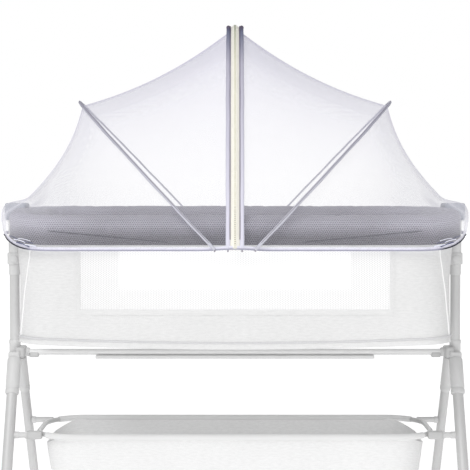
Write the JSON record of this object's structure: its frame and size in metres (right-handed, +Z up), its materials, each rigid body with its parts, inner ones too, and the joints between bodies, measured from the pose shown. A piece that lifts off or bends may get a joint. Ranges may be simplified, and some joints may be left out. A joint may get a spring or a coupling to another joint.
{
  "type": "crib mosquito net with bedside crib",
  "caption": "Pop-up mesh dome on sprung hoops with a centre zip, stretched over the padded rail of a plain bedside crib with leaning legs and a cloth basket.",
  "frame": {"origin": "on the floor under the middle of the part, between its feet", "axes": "+X to the right along the crib, +Y away from the side seen in the picture, +Z up"},
  "size_m": [0.9922, 0.5956, 1.1343],
  "materials": {
    "net_mesh": "sheer warp-knit net, matt",
    "sleeve_ribbon": "woven ribbon, matt",
    "zip_tape": "woven zip tape and nylon coil, matt",
    "hoop_rod": "dark lacquered spring wire",
    "rail_cover": "padded woven cover, matt",
    "tub_linen": "plain linen weave, matt",
    "window_mesh": "open mesh, matt",
    "leg_tube": "satin paint",
    "joint_plastic": "fine grain, satin",
    "foot_rubber": "matt"
  },
  "bodies": {
    "root": {"net_upper_panel_right": "net_mesh", "net_upper_panel_left": "net_mesh", "net_lower_panel_right": "net_mesh", "net_lower_panel_left": "net_mesh", "sleeve_upright_right": "sleeve_ribbon", "sleeve_upright_left": "sleeve_ribbon", "sleeve_leaning_right": "sleeve_ribbon", "sleeve_leaning_left": "sleeve_ribbon", "rod_upright_right": "hoop_rod", "rod_upright_left": "hoop_rod", "rod_leaning_right": "hoop_rod", "rod_leaning_left": "hoop_rod", "zip_tape_right": "zip_tape", "zip_tape_left": "zip_tape", "zip_chain": "zip_tape", "rail_cover": "rail_cover", "tub_side_near": "tub_linen", "tub_side_far": "tub_linen", "tub_end_right": "tub_linen", "tub_end_left": "tub_linen", "tub_floor": "tub_linen", "basket_side_near": "tub_linen", "basket_side_far": "tub_linen", "basket_end_right": "tub_linen", "basket_end_left": "tub_linen", "basket_floor": "tub_linen", "window_mesh_near": "window_mesh", "window_mesh_far": "window_mesh", "post_cap_right": "joint_plastic", "post_cap_left": "joint_plastic", "post_lock_right": "joint_plastic", "post_lock_left": "joint_plastic", "post_button_right": "joint_plastic", "post_button_left": "joint_plastic", "leg_joint_right": "joint_plastic", "leg_joint_left": "joint_plastic", "leg_collar_near_right": "joint_plastic", "leg_collar_near_left": "joint_plastic", "leg_collar_far_right": "joint_plastic", "leg_collar_far_left": "joint_plastic", "basket_bracket_near_right": "joint_plastic", "basket_bracket_near_left": "joint_plastic", "basket_bracket_far_right": "joint_plastic", "basket_bracket_far_left": "joint_plastic", "crossbar_pad": "joint_plastic", "post_right": "leg_tube", "post_left": "leg_tube", "leg_near_right": "leg_tube", "leg_near_left": "leg_tube", "leg_far_right": "leg_tube", "leg_far_left": "leg_tube", "crossbar": "leg_tube", "basket_tube": "leg_tube", "foot_near_right": "foot_rubber", "foot_near_left": "foot_rubber", "foot_far_right": "foot_rubber", "foot_far_left": "foot_rubber"}
  },
  "joints": []
}
